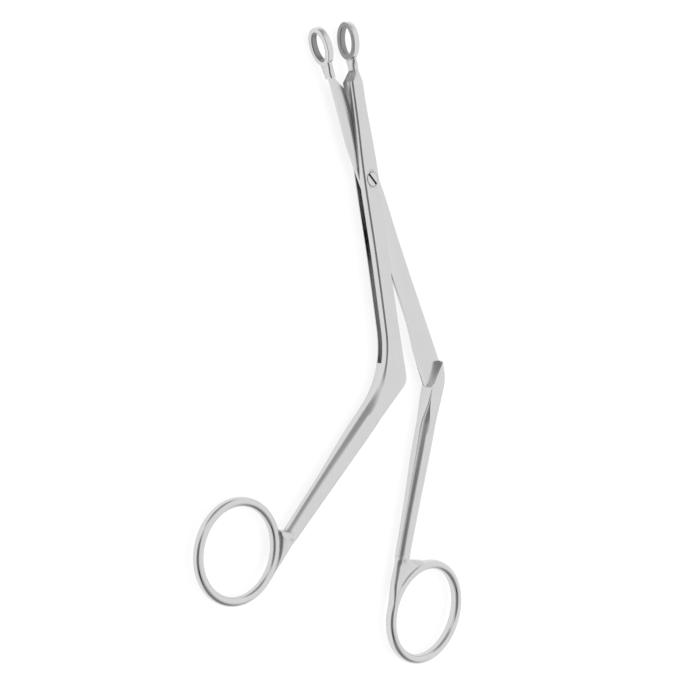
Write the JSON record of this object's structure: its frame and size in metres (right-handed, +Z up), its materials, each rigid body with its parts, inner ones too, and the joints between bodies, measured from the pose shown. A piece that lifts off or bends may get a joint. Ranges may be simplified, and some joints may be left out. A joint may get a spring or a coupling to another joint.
{
  "type": "nasal septum forceps",
  "caption": "Hand forceps with upright oval ring jaws, a blade that passes through a slotted shank at a pivot screw, and angled handles with finger rings.",
  "frame": {"origin": "centre of the box of the instrument as it lies, at the height of the surface it lies on", "axes": "+Y along the slotted shank towards the jaws, +Z up out of the flat face that carries the screw's head, +X to the right seen from above with the jaws at the top"},
  "size_m": [0.1023, 0.1984, 0.0072],
  "materials": {
    "satin_steel": "satin, light grey, with a fine grain"
  },
  "bodies": {
    "slotted": {"slotted_half": "satin_steel", "pivot_screw": "satin_steel"},
    "blade": {"blade_half": "satin_steel"}
  },
  "joints": [
    {"name": "jaw_pivot", "type": "hinge", "parent": "slotted", "child": "blade", "pos_m": [0.02991, 0.0538, 0.0036], "axis": [0, 0, 1], "range_deg": [-12, 8]}
  ]
}
